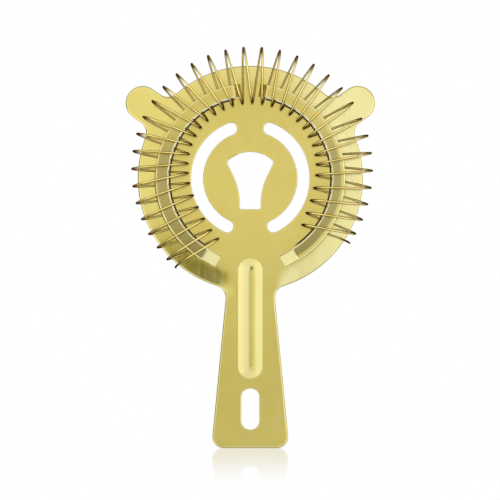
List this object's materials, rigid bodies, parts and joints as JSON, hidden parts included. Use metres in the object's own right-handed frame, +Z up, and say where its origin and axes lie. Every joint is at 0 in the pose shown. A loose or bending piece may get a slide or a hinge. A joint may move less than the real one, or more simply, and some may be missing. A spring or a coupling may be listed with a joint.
{
  "type": "hawthorne strainer",
  "caption": "Cocktail strainer: pressed disc with ears and flat tapered handle, a wire coil threaded round two raised strips.",
  "frame": {"origin": "on the surface under the end of the handle, centred side to side and front to back", "axes": "+Z up along the handle to the disc, +X to the right seen from the spring side, -Y out of the spring side of the plate"},
  "size_m": [0.0988, 0.0126, 0.1587],
  "materials": {
    "plate_steel": "satin, gold-coloured coating",
    "spring_wire": "bright drawn wire, gold-coloured coating"
  },
  "bodies": {
    "plate": {"strainer_plate": "plate_steel"},
    "spring": {"coil_spring": "spring_wire"}
  },
  "joints": [
    {"name": "crown_press", "type": "slide", "parent": "plate", "child": "spring", "axis": [0, 0, -1], "range_m": [0, 0.005], "stiffness_N_per_m": 500, "deforming": ["coil_spring"]}
  ]
}
